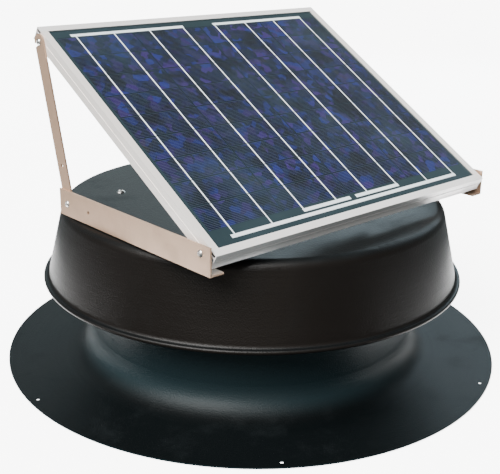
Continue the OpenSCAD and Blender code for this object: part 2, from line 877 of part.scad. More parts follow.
panel_x = panel_w / 2;
panel_low = -pivot_inset;
panel_high = panel_l - pivot_inset;
panel_top = pivot_depth;
panel_mid = (panel_low + panel_high) / 2;

// Open channel section: X inward from the outer face, Y down from the top face
module frame_section(with_ledge) {
    difference() {
        union() {
            translate([0, -frame_h]) square([frame_t, frame_h]);
            translate([0, -lip_t]) square([frame_lip, lip_t]);
            translate([0, -shelf_under]) square([frame_lip, shelf_t]);
            translate([0, -frame_h]) square([frame_lip, flange_t]);
        }
        translate([-over, -shelf_under - shelf_t - groove_w]) square([over + groove_d, groove_w]);
    }
    if (with_ledge) {
        cove_r = (pow(ledge_w, 2) + pow(cove_h - ledge_edge, 2)) / (2 * ledge_w);
        difference() {
            translate([-ledge_w, -frame_h]) square([ledge_w, cove_h]);
            translate([-cove_r, -frame_h + cove_h]) circle(cove_r, $fn = 120);
        }
    }
}

// Cross member as wide as the panel, its open side toward +Y
module cross_member() {
    difference() {
        translate([-panel_x, panel_low, panel_top]) rotate([90, 0, 90])
            linear_extrude(panel_w) frame_section(true);
        corner_holes();
    }
}

module corner_holes() {
    at_corners() for (spot = plate_rivets)
        translate([spot[0], spot[1], -over]) cylinder(d = corner_rivet_d, h = flange_t + 2 * over, $fn = 32);
}

module frame_front() {
    color(mill) in_panel() cross_member();
}

module frame_rear() {
    color(mill) in_panel() translate([0, 2 * panel_mid, 0]) mirror([0, 1, 0]) cross_member();
}

// Side member between the two cross members, on the left side
module side_member() {
    difference() {
        translate([-panel_x, panel_high - frame_lip, panel_top])
            rotate([90, 0, 0]) linear_extrude(window_l) frame_section(false);
        for (run = [0, hook_run]) across(run, 0)
            translate([0, 0, panel_x - frame_t - over])
                cylinder(d = bolt_d, h = frame_t + 2 * over, $fn = 32);
        corner_holes();
    }
}

module frame_left() {
    color(mill) in_panel() side_member();
}

module frame_right() {
    color(mill) in_panel() mirror([1, 0, 0]) side_member();
}

// Bolts that the panel turns on: they turn in the rails and are fast in the panel
module pivot_bolts() {
    stack = rail_t + strut_t + 2 * side_fit + frame_t + nut_h;
    color(steel) both_sides() across(pivot_y, pivot_z)
        translate([0, 0, rail_out + head_lift])
            screw(bolt_d, stack + head_lift + thread_show, head_d, head_h, $fn = 32);
}

module pivot_spacers() {
    color(rubber) both_sides() across(pivot_y, pivot_z) translate([0, 0, panel_x]) difference() {
        cylinder(d = spacer_d, h = strut_t + side_fit, $fn = 32);
        translate([0, 0, -over]) cylinder(d = bolt_d, h = strut_t + 2 * over, $fn = 32);
    }
}

module pivot_nuts() {
    color(steel) in_panel() both_sides() for (run = [0, hook_run]) across(run, 0)
        translate([0, 0, panel_x - frame_t - nut_h]) rotate([0, 0, 90])
            hex_nut(bolt_d, nut_af, nut_h, $fn = 32);
}

// Screws that the struts' slots hang on
module hook_screws() {
    stack = strut_t + 2 * side_fit + frame_t + nut_h;
    color(steel) in_panel() both_sides() across(hook_run, 0)
        translate([0, 0, panel_x + strut_t + 2 * side_fit])
            screw(bolt_d, stack + thread_show, head_d, head_h, $fn = 32);
}

// One corner of the panel's underside, repeated at all four
module at_corners() {
    for (x = [0, 1], y = [0, 1]) mirror([x, 0, 0])
        translate([0, y * 2 * panel_mid, 0]) mirror([0, y, 0]) translate([-panel_x, panel_low, panel_top - frame_h])
            children();
}

plate_t = 1.5;
plate_edge = 1;
plate_leg = 38;
plate_row = 5.2;                    // distance of the rivets from the frame's outer faces
plate_rivets = [[plate_row, 18], [plate_row, 31], [18, plate_row], [31, plate_row]];
corner_rivet_d = 3.2;
corner_head_d = 5.6;
corner_tail_d = 4.4;
corner_tail_h = 0.8;

module corner_plates() {
    color(zinc) in_panel() at_corners() translate([0, 0, -plate_t]) linear_extrude(plate_t) difference() {
        rounded_outline([[plate_edge, plate_edge], [plate_leg, plate_edge], [plate_edge, plate_leg]], 2);
        for (spot = plate_rivets) translate(spot) circle(d = corner_rivet_d, $fn = 32);
    }
}

module corner_rivets() {
    color(steel) in_panel() at_corners() for (spot = plate_rivets) translate(spot) {
        translate([0, 0, -plate_t]) mirror([0, 0, 1]) domed_head(corner_head_d, 1, $fn = 32);
        translate([0, 0, -plate_t]) cylinder(d = corner_rivet_d, h = plate_t + flange_t, $fn = 32);
        translate([0, 0, flange_t]) cylinder(d = corner_tail_d, h = corner_tail_h, $fn = 32);
    }
}

// Flat block centred on the panel, from depth a to depth b under its top face
module panel_block(w, l, a, b) {
    translate([-w / 2, panel_mid - l / 2, panel_top - b]) cube([w, l, b - a]);
}

glass_top = lip_t + seal_t;
ribbon_top = glass_top + glass_t;
cells_top = ribbon_top + ribbon_t;
sheet_top = cells_top + cell_t;
sheet_under = sheet_top + sheet_t;

// Strip seal round the laminate's edge
module edge_seal() {
    color(rubber) in_panel() difference() {
        panel_block(panel_w - 2 * frame_t, panel_l - 2 * frame_t, lip_t, shelf_top);
        panel_block(laminate_w, laminate_l, glass_top, sheet_under);
        panel_block(window_w, window_l, 0, frame_h);
    }
}

module solar_glass() {
    color([0.6, 0.75, 0.8, 0.35]) in_panel() panel_block(laminate_w, laminate_l, glass_top, ribbon_top);
}

module back_sheet() {
    color([0.08, 0.1, 0.12]) in_panel() panel_block(laminate_w, laminate_l, sheet_top, sheet_under);
}

function cell_x(col) = -window_w / 2 + cell_side + col * cell_pitch_x;
function cell_y(row) = panel_low + frame_lip + cell_foot + row * cell_pitch_y;

module solar_cells() {
    color([0.09, 0.12, 0.28]) in_panel() for (col = [0:cell_cols - 1], row = [0:cell_rows - 1])
        translate([cell_x(col), cell_y(row), panel_top - sheet_top]) cube([cell_w, cell_l, cell_t]);
}

tab_share = 0.245;                  // place of a cell's tabs, from its edges

function tab_x(i) = cell_x(floor(i / 2)) + cell_w * (i % 2 == 0 ? tab_share : 1 - tab_share);

module ribbon(x0, y0, x1, y1) {
    translate([x0, y0, panel_top - cells_top]) cube([x1 - x0, y1 - y0, ribbon_t]);
}

// Two tabs down each column of cells, joined by the wide ribbons at both ends
module bus_ribbons() {
    last = 2 * cell_cols - 1;
    upper = cell_y(cell_rows) - cell_gap + 2;
    outer = panel_low + frame_lip + bus_foot;
    inner = outer + bus_w + bus_gap;
    half = floor(cell_cols / 2) * 2;
    reach = 6;
    color([0.88, 0.9, 0.92]) in_panel() {
        for (i = [0:last]) {
            is_outer = i < 2 || i > last - 2;
            ribbon(tab_x(i) - tab_w / 2, is_outer ? outer : inner, tab_x(i) + tab_w / 2, upper + bus_w);
        }
        ribbon(tab_x(0) - reach, upper, tab_x(half - 1) + tab_w, upper + bus_w);
        ribbon(tab_x(half) - tab_w, upper, tab_x(last) + tab_w, upper + bus_w);
        ribbon(tab_x(0) - reach, outer, tab_x(last) + tab_w, outer + bus_w);
        if (cell_cols > 3) {
            ribbon(tab_x(2) - tab_w, inner, -bus_w, inner + bus_w);
            ribbon(bus_w, inner, tab_x(last - 2) + tab_w, inner + bus_w);
        }
    }
}

// Frame of the junction box under the back sheet, Z down
module at_box() {
    in_panel() translate([0, panel_low + box_v, panel_top - sheet_under]) mirror([0, 0, 1]) children();
}

box_posts = [for (x = [-1, 1], y = [-1, 1]) [x * (box_w / 2 - post_in), y * (box_l / 2 - post_in)]];

module junction_box() {
    color(rubber) at_box() difference() {
        union() {
            difference() {
                linear_extrude(box_h) rounded_rect(box_w, box_l, box_corner_r);
                translate([0, 0, box_wall]) linear_extrude(box_h)
                    rounded_rect(box_w - 2 * box_wall, box_l - 2 * box_wall, box_corner_r - box_wall);
            }
            for (post = box_posts) translate(post) cylinder(d = post_d, h = box_h, $fn = 32);
        }
        for (post = box_posts)
            translate([post[0], post[1], box_wall]) cylinder(d = box_screw_d, h = box_h, $fn = 32);
        translate([0, box_l / 2 - box_wall - over, box_h / 2]) rotate([-90, 0, 0])
            cylinder(d = box_gland_d, h = box_wall + 2 * over, $fn = 32);
    }
}

module junction_lid() {
    color(rubber) at_box() translate([0, 0, box_h]) difference() {
        linear_extrude(box_lid_h) rounded_rect(box_w, box_l, box_corner_r);
        for (post = box_posts)
            translate([post[0], post[1], -over])
                cylinder(d = box_screw_d, h = box_lid_h + 2 * over, $fn = 32);
    }
}

module junction_screws() {
    color(steel) at_box() for (post = box_posts)
        translate([post[0], post[1], box_h + box_lid_h])
            screw(box_screw_d, box_screw_l, box_head_d, box_head_h, $fn = 32);
}

// Cable gland on the box's upper side, with nothing in it
module junction_gland() {
    inside = box_wall + 2;
    nut_d = 15;
    nut_h = 5;
    cone_d = 13;
    cone_h = 8;
    color(rubber) at_box() translate([0, box_l / 2, box_h / 2]) rotate([-90, 0, 0]) difference() {
        union() {
            translate([0, 0, -inside]) cylinder(d = box_gland_d, h = inside, $fn = 32);
            cylinder(d = nut_d, h = nut_h, $fn = 6);
            translate([0, 0, nut_h]) cylinder(d1 = cone_d, d2 = box_gland_d, h = cone_h, $fn = 48);
        }
        translate([0, 0, -inside - over])
            cylinder(d = box_gland_bore, h = inside + nut_h + cone_h + 2 * over, $fn = 32);
    }
}

/* ---- What is drawn ---- */

flashing_base();
for (k = screen_ids)
    screen_panel(k);
for (k = bracket_ids)
    shroud_bracket(k);
throat_screws();
shroud();
shroud_screws();
cable_grommet();
motor_mount();
motor_cap();
motor_can();
motor_nose();
motor_screws();
motor_gland();
motor_bearings();
stator_core();
motor_shaft();
magnet_rotor();
fan_hub();
hub_set_screw();
for (k = blade_ids)
    fan_blade(k);
blade_rivets();
rail_left();
rail_right();
rail_washers();
rail_screws();
rail_nuts();
strut_left();
strut_right();
strut_bolts();
strut_nuts();
pivot_bolts();
pivot_spacers();
pivot_nuts();
hook_screws();
frame_front();
frame_rear();
frame_left();
frame_right();
corner_plates();
corner_rivets();
edge_seal();
solar_glass();
solar_cells();
bus_ribbons();
back_sheet();
junction_box();
junction_lid();
junction_screws();
junction_gland();
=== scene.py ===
import bpy
import json
import math
import numpy as np
from mathutils import Matrix, Vector


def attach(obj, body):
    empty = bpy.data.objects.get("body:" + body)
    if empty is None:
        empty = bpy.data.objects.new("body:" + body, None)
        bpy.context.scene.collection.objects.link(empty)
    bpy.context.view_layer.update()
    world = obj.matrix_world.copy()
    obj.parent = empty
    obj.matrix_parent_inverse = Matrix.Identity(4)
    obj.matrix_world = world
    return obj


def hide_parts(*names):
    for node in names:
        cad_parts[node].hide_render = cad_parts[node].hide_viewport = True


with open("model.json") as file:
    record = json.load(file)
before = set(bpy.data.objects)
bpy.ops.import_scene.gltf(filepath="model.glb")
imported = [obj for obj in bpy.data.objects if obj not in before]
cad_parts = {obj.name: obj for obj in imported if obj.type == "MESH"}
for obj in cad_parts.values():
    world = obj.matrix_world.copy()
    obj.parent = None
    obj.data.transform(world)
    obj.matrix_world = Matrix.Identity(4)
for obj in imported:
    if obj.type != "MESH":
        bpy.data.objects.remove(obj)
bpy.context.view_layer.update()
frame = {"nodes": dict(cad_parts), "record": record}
cad = frame["nodes"]
print("frame loaded:", len(cad), "nodes")


# A shader socket that can be added, multiplied and compared like a number
class Wire:
    def __init__(self, tree, socket):
        self.tree = tree
        self.socket = socket

    def math(self, kind, *others):
        return self.tree.node("Math", [self, *others], operation=kind)

    def __add__(self, other):
        return self.math("ADD", other)

    def __radd__(self, other):
        return self.math("ADD", other)

    def __sub__(self, other):
        return self.math("SUBTRACT", other)

    def __rsub__(self, other):
        return self.tree.node("Math", [other, self], operation="SUBTRACT")

    def __mul__(self, other):
        return self.math("MULTIPLY", other)

    def __rmul__(self, other):
        return self.math("MULTIPLY", other)

    def __truediv__(self, other):
        return self.math("DIVIDE", other)

    def __rtruediv__(self, other):
        return self.tree.node("Math", [other, self], operation="DIVIDE")

    def __abs__(self):
        return self.math("ABSOLUTE")

    def below(self, other):
        return self.math("LESS_THAN", other)

    def floor(self):
        return self.math("FLOOR")

    def sqrt(self):
        return self.math("SQRT")

    def least(self, other):
        return self.math("MINIMUM", other)

    def most(self, other):
        return self.math("MAXIMUM", other)

    # 0 below the first value, 1 above the second, smooth between
    def ramp(self, low, high):
        given = [self, low, high, 0, 1]
        return self.tree.node("MapRange", given, interpolation_type="SMOOTHSTEP")

    # colour between two colours or wires
    def tint(self, a, b):
        return self.tree.node("Mix", {0: self, 6: a, 7: b}, out=2, data_type="RGBA")

    def split(self):
        return [self.tree.node("SeparateXYZ", [self], out=k) for k in range(3)]


# A material's nodes; every node is made by the one method called node
class Tree:
    def __init__(self, name):
        self.material = bpy.data.materials.new(name)
        self.material.use_nodes = True
        self.nodes = self.material.node_tree.nodes
        self.links = self.material.node_tree.links
        self.nodes.clear()

    def put(self, socket, value):
        if isinstance(value, Wire):
            self.links.new(value.socket, socket)
        elif isinstance(value, (tuple, list)) and socket.type == "RGBA":
            socket.default_value = (*value[:3], 1)
        else:
            socket.default_value = value

    def node(self, kind, given=(), out=0, **settings):
        made = self.nodes.new("ShaderNode" + kind)
        for key, value in settings.items():
            setattr(made, key, value)
        pairs = given.items() if isinstance(given, dict) else enumerate(given)
        for key, value in pairs:
            self.put(made.inputs[key], value)
        return Wire(self, made.outputs[out])

    # Object coordinates
    def place(self):
        return self.node("TexCoord", out=3)

    def vector(self, x, y, z):
        return self.node("CombineXYZ", [x, y, z])

    def noise(self, where, scale, detail=2.0, rough=0.5):
        given = {"Vector": where, "Scale": scale, "Detail": detail, "Roughness": rough}
        return self.node("TexNoise", given)

    # a random colour for each cell of a Voronoi pattern
    def cells(self, where, scale):
        return self.node("TexVoronoi", {"Vector": where, "Scale": scale}, out=1)

    def bump(self, height, depth, before=None):
        given = {"Height": height, "Strength": 1.0, "Distance": depth}
        if before is not None:
            given["Normal"] = before
        return self.node("Bump", given)

    def done(self, **given):
        end = self.nodes.new("ShaderNodeOutputMaterial")
        look = self.nodes.new("ShaderNodeBsdfPrincipled")
        for key, value in given.items():
            self.put(look.inputs[key.replace("_", " ")], value)
        self.links.new(look.outputs[0], end.inputs[0])
        return self.material


# Cloudy patches of dirt
def grime(t, scale):
    return t.noise(t.place(), scale, 6.0, 0.62).ramp(0.50, 0.72)


coat = {
    "rings": 260, "sweep": 26, "peel": 620, "cloud": 17, "speck": 2600,  # pattern scales
    "peelDepth": 0.00022, "ringDepth": 0.00010, "sweepShare": 4.0,
    "dustFlat": 0.22, "dustWall": 0.06, "speckShare": 0.25,
    "dusty": (0.013, 0.017, 0.019),
}


# Satin black powder coat over spun metal: faint turning rings, orange peel and dust.
# Faces that look up take the first colour, a painted shade, and walls the second, painted light where
# the two differ
def blackCoat(name, base, wallLit, dusty=coat["dusty"], rough=0.38):
    t = Tree(name)
    where = t.place()
    x, y, z = where.split()
    radius = (x * x + y * y).sqrt()
    up = t.node("NewGeometry", out=1).split()[2].ramp(0.45, 0.95)
    rings = t.noise(t.vector(radius * coat["rings"], z * coat["rings"], 0.0), 1.0, 2.0)
    sweep = t.noise(t.vector(radius * coat["sweep"], z * coat["sweep"], 0.0), 1.0, 1.0)
    peel = t.noise(where, coat["peel"], 1.0)
    speck = t.noise(where, coat["speck"], 1.0).ramp(0.66, 0.76)
    dust = grime(t, coat["cloud"]) * (up * coat["dustFlat"] + coat["dustWall"])
    dust = dust + speck * up * coat["speckShare"]
    scuff = t.noise(t.vector(x * 8, y * 60, z * 8), 3.0, 4.0).ramp(0.62, 0.78)
    surface = t.bump(rings + sweep * coat["sweepShare"], coat["ringDepth"])
    dull = peel * 0.05 + rings * 0.04 + dust * 0.3 + scuff * 0.07
    # painted light and shade: the base colour runs from the up faces' shaded colour to the walls' lit
    # colour by facing, under the dust
    return t.done(
        Base_Color=(dust * 0.6).tint(up.tint(wallLit, base), dusty),
        Roughness=(dull + (rough - 0.05)).least(0.9),
        Normal=t.bump(peel, coat["peelDepth"], surface),
        Specular_IOR_Level=0.18,
    )


# Drawn or rolled metal: fine lines along one axis, small scratches, stains
def drawnMetal(name, colour, rough, along, line, stain=0.12, scratch=0.4, metal=1.0):
    t = Tree(name)
    where = t.place()
    parts = where.split()

    def streaks(onLine, acrossLine, detail, fine=0.5):
        stretched = [p * (onLine if k == along else acrossLine) for k, p in enumerate(parts)]
        return t.noise(t.vector(*stretched), 1.0, detail, fine)

    lines = streaks(12.0, line, 2.0, 0.6)
    bands = streaks(4.0, line * 0.12, 1.0)
    marks = streaks(60.0, 420.0, 3.0).ramp(0.66, 0.70) * scratch
    cloud = t.noise(where, 35, 5.0).ramp(0.42, 0.75)
    dark = [c * (1 - stain * 2.2) for c in colour]
    dull = lines * 0.16 + bands * 0.08 + cloud * 0.10 + marks * 0.18
    return t.done(
        Base_Color=(cloud * 0.55 + lines * 0.35).tint(colour, dark),
        Metallic=metal,
        Roughness=(dull + (rough - 0.15)).most(0.08),
        Normal=t.bump(lines + bands * 2.0 - marks, 0.00003),
    )


# Zinc-plated or galvanised sheet with a soft spangle
def spangle(name, colour=(0.52, 0.55, 0.58), size=95.0, rough=0.38):
    t = Tree(name)
    where = t.place()
    warp = t.noise(where, 60, 3.0)
    flake = t.cells(where, size).split()[0]
    grain = t.noise(where, 900, 2.0)
    dark = [c * 0.72 for c in colour]
    return t.done(
        Base_Color=(flake * 0.55 + warp * 0.25).tint(colour, dark),
        Metallic=0.95,
        Roughness=flake * 0.14 + grain * 0.10 + (rough - 0.1),
        Normal=t.bump(grain + flake * 0.4, 0.00004),
    )


# Turned or ground metal: rings round the axis, which runs along Z
def turned(name, colour, rough, rings=1500.0):
    t = Tree(name)
    where = t.place()
    x, y, z = where.split()
    lines = t.noise(t.vector((x * x + y * y).sqrt() * rings, z * rings, 0.0), 1.0, 2.0)
    oil = t.noise(where, 70, 4.0).ramp(0.45, 0.75)
    return t.done(
        Base_Color=(oil * 0.6).tint(colour, [c * 0.66 for c in colour]),
        Metallic=1.0,
        Roughness=lines * 0.14 + oil * 0.12 + rough,
        Normal=t.bump(lines, 0.00002),
    )


# Die-cast alloy: sand-like grain with dull patches
def castMetal(name, colour=(0.50, 0.51, 0.52), rough=0.46):
    t = Tree(name)
    where = t.place()
    grain = t.noise(where, 1400, 3.0, 0.7)
    patch = t.noise(where, 45, 4.0).ramp(0.4, 0.7)
    return t.done(
        Base_Color=(patch * 0.6 + grain * 0.2).tint(colour, [c * 0.7 for c in colour]),
        Metallic=0.9,
        Roughness=grain * 0.16 + patch * 0.14 + (rough - 0.12),
        Normal=t.bump(grain, 0.00010),
    )


# Black plastic or rubber with a spark-eroded grain
def grainy(name, colour=(0.018, 0.018, 0.019), rough=0.5):
    t = Tree(name)
    where = t.place()
    grain = t.noise(where, 2600, 2.0)
    dust = grime(t, 60)
    pale = [c * 2.6 + 0.015 for c in colour]
    return t.done(
        Base_Color=(dust * 0.5).tint(colour, pale),
        Roughness=grain * 0.16 + dust * 0.2 + (rough - 0.06),
        Normal=t.bump(grain, 0.00007),
    )


print("shader parts ready")

warmMill = (0.50, 0.335, 0.235)
# painted light and shade: the flashing's flange is painted darker as shade and its throat walls a
# lighter teal for the cool light they reflect
flatCoatShaded, throatCoatLit = (0.0014, 0.0024, 0.0028), (0.0090, 0.0200, 0.0240)
# painted light and shade: the shroud's top is painted darker as the panel's shadow and its walls
# lighter and warmer, the same coat lit differently
shroudTopShaded, shroudWallLit = (0.0030, 0.0034, 0.0036), (0.0050, 0.0038, 0.0031)
motorCoat, motorDust = (0.012, 0.012, 0.013), (0.05, 0.05, 0.05)
# painted light: the side members are painted warmer than the front and rear members of the same
# anodised extrusion, for the warm light on that side
frameSidesWarmLit, frameAcross = (0.98, 0.92, 0.88), (0.98, 0.95, 0.94)
looks = {
    "black_coat": blackCoat("black_coat", flatCoatShaded, throatCoatLit, rough=0.46),
    "shroud_coat": blackCoat("shroud_coat", shroudTopShaded, shroudWallLit),
    "screen_steel": spangle("screen_steel", (0.30, 0.31, 0.32), 300, 0.45),
    "stainless": turned("stainless", (0.60, 0.59, 0.57), 0.24),
    "zinc_plate": spangle("zinc_plate"),
    "rubber": grainy("rubber", (0.016, 0.016, 0.016), 0.72),
    "black_plastic": grainy("black_plastic"),
    "cast_alloy": castMetal("cast_alloy"),
    "motor_black": blackCoat("motor_black", motorCoat, motorCoat, motorDust, 0.42),
    "ground_steel": turned("ground_steel", (0.62, 0.62, 0.62), 0.14),
    "copper_varnish": castMetal("copper_varnish", (0.35, 0.16, 0.07), 0.4),
    "copper_wire": turned("copper_wire", (0.55, 0.22, 0.08), 0.24, 4200.0),
    "screen_wire": turned("screen_wire", (0.34, 0.35, 0.36), 0.38, 900.0),
    "magnet": castMetal("magnet", (0.12, 0.12, 0.13), 0.5),
    "blade_alloy": drawnMetal("blade_alloy", (0.70, 0.71, 0.72), 0.34, 0, 1500.0, 0.1),
    "mill_aluminium": drawnMetal("mill_aluminium", warmMill, 0.40, 1, 2400.0, 0.09, 0.4, 0.38),
    "anodised_frame": drawnMetal("anodised_frame", frameSidesWarmLit, 0.44, 1, 2600.0, 0.05, 0.25, 0.3),
    "frame_cross": drawnMetal("frame_cross", frameAcross, 0.44, 0, 2600.0, 0.05, 0.25, 0.3),
}
# slots with no look of their own; the laminate below stands for the first three
shown = {
    "glass": "anodised_frame",
    "cell_blue": "anodised_frame",
    "tinned_ribbon": "stainless",
    "back_sheet": "black_plastic",
}
# nodes whose look differs from their slot's
special = {"frame_front": "frame_cross", "frame_rear": "frame_cross", "shroud": "shroud_coat"}
slotOf = {s["node"]: s["material_slot"] for s in frame["record"]["subparts"]}
for name, thing in cad.items():
    key = special.get(name, shown.get(slotOf[name], slotOf[name]))
    thing.data.materials.clear()
    thing.data.materials.append(looks[key])
print("CAD nodes dressed")


# A mesh of points and faces that rides a body and may stand in for CAD nodes
def piece(name, points, faces, material, body, stands=(), smooth=True, uv=None):
    mesh = bpy.data.meshes.new(name)
    points = np.asarray(points, float)
    faces = np.asarray(faces)
    mesh.from_pydata(points.tolist(), [], faces.tolist())
    mesh.polygons.foreach_set("use_smooth", np.full(len(mesh.polygons), smooth))
    if uv is not None:
        layer = mesh.uv_layers.new(name="flat")
        index = np.empty(len(mesh.loops), np.int32)
        mesh.loops.foreach_get("vertex_index", index)
        layer.data.foreach_set("uv", np.asarray(uv, float)[index].ravel())
    mesh.materials.append(material)
    mesh.update()
    thing = bpy.data.objects.new(name, mesh)
    bpy.context.scene.collection.objects.link(thing)
    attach(thing, body)
    if stands:
        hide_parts(*stands)


# Tilt axis of the panel and, from it, the glass's top, the frame's foot and length
hinge = {
    "y": -0.1687, "z": 0.2187, "tilt": math.radians(31), "top": 0.011, "low": -0.016, "long": 0.364,
}


# From the panel's own frame: x across, then up the slope, then out of the glass
def fromPanel(p):
    x, v, n = np.asarray(p, float).T
    c, s = math.cos(hinge["tilt"]), math.sin(hinge["tilt"])
    return np.column_stack([x, hinge["y"] + v * c - n * s, hinge["z"] + v * s + n * c])


# Metres, up the slope from the frame's foot; shares are of a cell's width
laminate = {
    "width": 0.4386, "length": 0.3596, "top": 0.00135, "deep": 0.0033, "edge": 0.0006,
    "cols": 4, "rows": 9, "left": -0.207, "foot": 0.032,
    "pitchX": 0.1039, "pitchY": 0.034511, "gap": 0.0016,
    "tab": 0.0017, "bus": 0.0046, "low": 0.0166, "tabAt": (0.245, 0.755),
    "past": 0.0018, "pastEnd": 0.006, "clear": 0.003, "over": 0.002, "split": 0.104,
    "finger": 0.0021, "fingerLow": 0.0009, "fingerHigh": 0.00112, "soft": 0.00012,
    "silicon": (0.0026, 0.0042, 0.0120), "blue": (0.012, 0.018, 0.150),
    "purple": (0.034, 0.012, 0.120), "teal": (0.005, 0.013, 0.020),
    "tin": (0.90, 0.97, 1.0), "oldTin": (0.66, 0.74, 0.80),
}


# Cells under glass: dark teal film, mottled silicon, fine fingers, pale ribbons
def laminateLook(g):
    t = Tree("solar_laminate")
    flat = t.node("UVMap", uv_map="flat")
    x, v, _ = flat.split()
    cellW, cellL = g["pitchX"] - g["gap"], g["pitchY"] - g["gap"]
    fx, fv = (x - g["left"]) / g["pitchX"], (v - g["foot"]) / g["pitchY"]
    col, row = fx.floor(), fv.floor()
    inX, inV = (fx - col) * g["pitchX"], (fv - row) * g["pitchY"]
    soft = g["soft"]

    def within(value, low, high):
        return value.ramp(low - soft, low + soft) * (1 - value.ramp(high - soft, high + soft))

    field = within(fx, 0, g["cols"]) * within(fv, 0, g["rows"])
    cell = field * within(inX, 0.0, cellW) * within(inV, 0.0, cellL)
    seed = t.vector(col * 3.7, row * 5.3, 0.0)
    own = t.node("TexWhiteNoise", {"Vector": seed}, out=0)
    warp = t.node("TexNoise", {"Vector": flat, "Scale": 90.0, "Detail": 2.0}, out=1)
    wobble = t.node("VectorMath", {0: warp, 1: (0.5, 0.5, 0.5)}, operation="SUBTRACT")
    wobble = t.node("VectorMath", {0: wobble, "Scale": 0.006}, operation="SCALE")
    shift = t.node("VectorMath", {0: flat, 1: wobble})
    shift = t.node("VectorMath", {0: shift, 1: t.vector(own * 0.6, own * 0.9, 0.0)})
    grains = t.cells(shift, 105.0)
    gr, gg, gb = grains.split()
    fine = t.cells(shift, 330.0).split()[0]
    silicon = (gr.ramp(0.50, 0.90) * 0.85 + fine * 0.15).tint(g["silicon"], g["blue"])
    silicon = (gg.ramp(0.62, 0.92) * 0.85).tint(silicon, g["purple"])
    silicon = (gb.ramp(0.62, 0.95) * 0.7).tint(silicon, g["teal"])
    silicon = (own * 0.45).tint(silicon, (0.005, 0.008, 0.020))
    blotch = t.noise(flat, 21, 3.0, 0.6)
    silicon = (blotch.ramp(0.60, 0.70) * 0.5).tint(silicon, (0.024, 0.022, 0.010))
    silicon = (1 - blotch.ramp(0.36, 0.50) * 0.75).tint(silicon, (0.0012, 0.0015, 0.004))
    step = inV / g["finger"]
    finger = within((step - step.floor()) * g["finger"], g["fingerLow"], g["fingerHigh"]) * cell
    withFingers = (finger * 0.62).tint(silicon, (0.17, 0.20, 0.25))
    film = t.noise(flat, 38, 4.0).tint((0.014, 0.026, 0.032), (0.022, 0.037, 0.042))
    seam = field * (1 - cell)
    ground = cell.tint((seam * 0.7).tint(film, (0.004, 0.007, 0.012)), withFingers)
    # ribbons: two tabs down each column, wide ones across both ends
    lanes = [abs(inX / cellW - share) for share in g["tabAt"]]
    lane = lanes[0].least(lanes[1]) * cellW
    outer = abs(x).ramp(g["split"] - 0.0005, g["split"] + 0.0005)
    footEnd = g["low"] + g["bus"] + g["clear"]
    tabLow = outer * g["low"] + (1 - outer) * footEnd
    upper = g["foot"] + g["rows"] * g["pitchY"] - g["gap"] + g["over"]
    tab = lane.below(g["tab"] / 2) * within(fx, 0, g["cols"]) * (v - tabLow).ramp(-soft, soft)
    tab = tab * (1 - v.ramp(upper + g["bus"] - soft, upper + g["bus"] + soft))
    gapRow = (1 - within(inV, 0.0, cellL)) * within(v, g["foot"], upper - g["clear"])
    tab = tab * (1 - gapRow * 0.72)

    # from one tab to another, each given by its column and side, with the ends run past
    def tabX(column, side):
        return g["left"] + column * g["pitchX"] + g["tabAt"][side] * cellW

    def strip(a, b, low):
        return within(x, a, b) * within(v, low, low + g["bus"])

    past, pastEnd = g["past"], g["pastEnd"]
    bars = strip(tabX(0, 0) - pastEnd, tabX(1, 1) + past, upper)
    bars = bars + strip(tabX(2, 0) - past, tabX(3, 1) + past, upper)
    bars = bars + strip(tabX(0, 0) - pastEnd, tabX(3, 1) + past, g["low"])
    bars = bars + strip(tabX(1, 0) - past, -g["bus"], footEnd)
    bars = bars + strip(g["bus"], tabX(2, 1) + past, footEnd)
    metal = (tab + bars).least(1.0)
    tin = t.noise(flat, 420, 3.0).tint(g["tin"], g["oldTin"])
    smear = t.noise(flat, 16, 5.0, 0.6)
    dust = smear.ramp(0.48, 0.80)
    speck = t.noise(flat, 1900, 1.0).ramp(0.70, 0.76)
    haze = t.noise(flat, 7.5, 3.0, 0.55).ramp(0.44, 0.74)
    ground = (haze * 0.42).tint(ground, (0.030, 0.050, 0.062))
    colour = (dust * 0.010 + speck * 0.05).tint(metal.tint(ground, tin), (0.45, 0.47, 0.48))
    return t.done(
        Base_Color=colour,
        Roughness=metal * -0.10 + dust * 0.12 + 0.40,
        Coat_Weight=1.0,
        Coat_Roughness=0.035,
        Coat_IOR=1.30,
        Specular_IOR_Level=0.05,
        Normal=t.bump(metal * 0.6 + fine * 0.1, 0.00003),
    )


# Quads of a sheet of n rows by m points; wrapped sheets close on themselves
def sheetFaces(n, m, wrapped=True):
    i, j = np.meshgrid(np.arange(n - 1), np.arange(m if wrapped else m - 1), indexing="ij")
    a, b = i * m + j, i * m + (j + 1) % m
    return np.stack([a, a + m, b + m, b], -1).reshape(-1, 4)


# Plate with broken edges: four rings of corners from the top down, and the first and
# last step in by the edge
def slab(width, low, high, top, bottom, edge):
    rings = [(edge, top), (0.0, top - edge), (0.0, bottom + edge), (edge, bottom)]
    inset, n = np.array(rings).T[..., None]
    x = np.array([-1, 1, 1, -1]) * (width / 2 - inset)
    v = np.where([True, True, False, False], low + inset, high - inset)
    points = np.stack(np.broadcast_arrays(x, v, n), -1).reshape(-1, 3)
    return points, np.vstack([[(0, 1, 2, 3), (15, 14, 13, 12)], sheetFaces(4, 4)])


g = laminate
low = hinge["low"] + (hinge["long"] - g["length"]) / 2
top = hinge["top"] - g["top"]
points, faces = slab(g["width"], low, low + g["length"], top, top - g["deep"], g["edge"])
flat = np.column_stack([points[:, 0], points[:, 1] - hinge["low"]])
piece("panel_laminate", fromPanel(points), faces, laminateLook(g), "panel",
      ["solar_glass", "solar_cells", "bus_ribbons"], False, flat)
print("laminate built")


# One mesh from a list of points and faces
def joined(parts):
    count = np.cumsum([0] + [len(p) for p, _ in parts])
    return np.vstack([p for p, _ in parts]), np.vstack([f + c for (_, f), c in zip(parts, count)])


